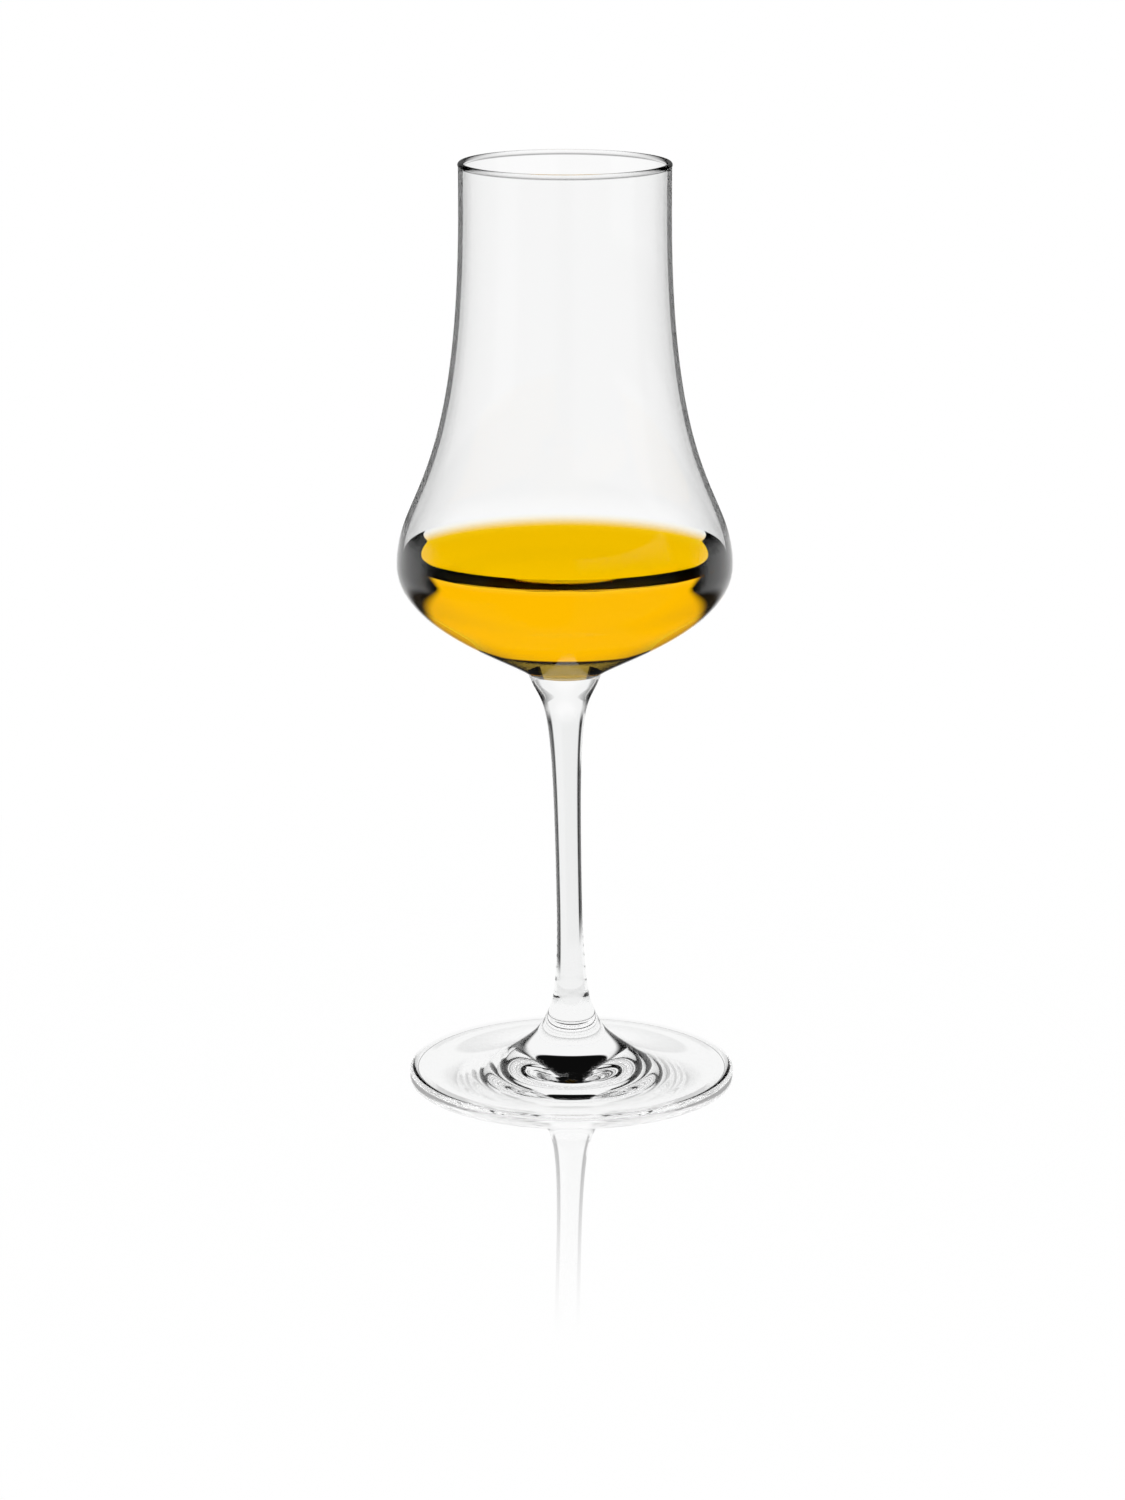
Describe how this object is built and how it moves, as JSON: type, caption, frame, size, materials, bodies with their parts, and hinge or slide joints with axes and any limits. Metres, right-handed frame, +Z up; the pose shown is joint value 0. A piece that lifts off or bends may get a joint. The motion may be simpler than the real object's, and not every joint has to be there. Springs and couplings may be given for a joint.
{
  "type": "spirits glass",
  "caption": "Stemmed spirits glass: tulip bowl with a tall narrow chimney, thin waisted stem and round foot, holding an amber pour up to its widest part.",
  "frame": {"origin": "centre of the ring that the foot stands on", "axes": "+Z up along the turning axis, from foot to rim; X and Y are free because every piece is turned"},
  "size_m": [0.0698, 0.0698, 0.194],
  "materials": {
    "clear_glass": "fire-polished clear crystal",
    "amber_spirit": "clear golden liquid"
  },
  "bodies": {
    "glass": {"foot": "clear_glass", "stem": "clear_glass", "bowl": "clear_glass"},
    "pour": {"spirit": "amber_spirit"}
  },
  "joints": [
    {"name": "spirit_swirl", "type": "hinge", "parent": "glass", "child": "pour", "pos_m": [0, 0, 0.1], "axis": [0, 0, 1], "continuous": true}
  ]
}
